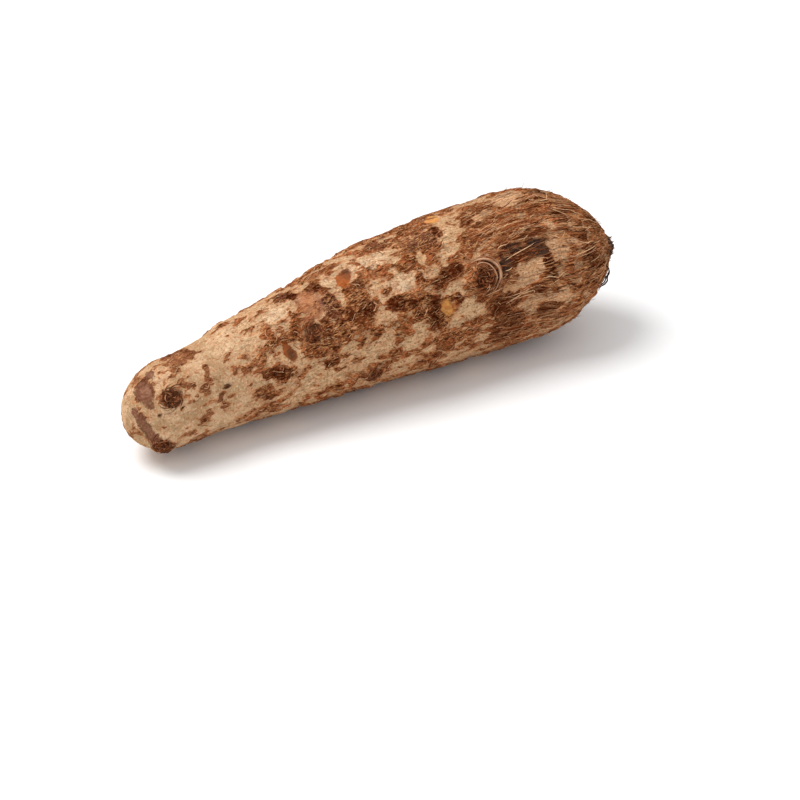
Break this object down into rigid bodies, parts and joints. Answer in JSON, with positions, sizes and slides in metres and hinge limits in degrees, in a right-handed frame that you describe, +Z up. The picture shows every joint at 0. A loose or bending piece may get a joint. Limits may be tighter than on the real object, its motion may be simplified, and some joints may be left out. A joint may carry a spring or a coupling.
{
  "type": "taro corm",
  "caption": "Whole unpeeled taro corm lying on its side, with leaf-scar rings, side buds, patchy papery bark and a fibrous crown.",
  "frame": {"origin": "under the middle of the corm, on the surface that it lies on", "axes": "+X along the corm from its rounded butt to its leaf crown, +Y towards its back, +Z up"},
  "size_m": [0.2469, 0.0709, 0.0696],
  "materials": {
    "taro_bark": "matt papery bark in rust brown and dark brown patches over paler tan skin, with fine lengthwise fibres"
  },
  "bodies": {
    "root": {"corm": "taro_bark"}
  },
  "joints": []
}
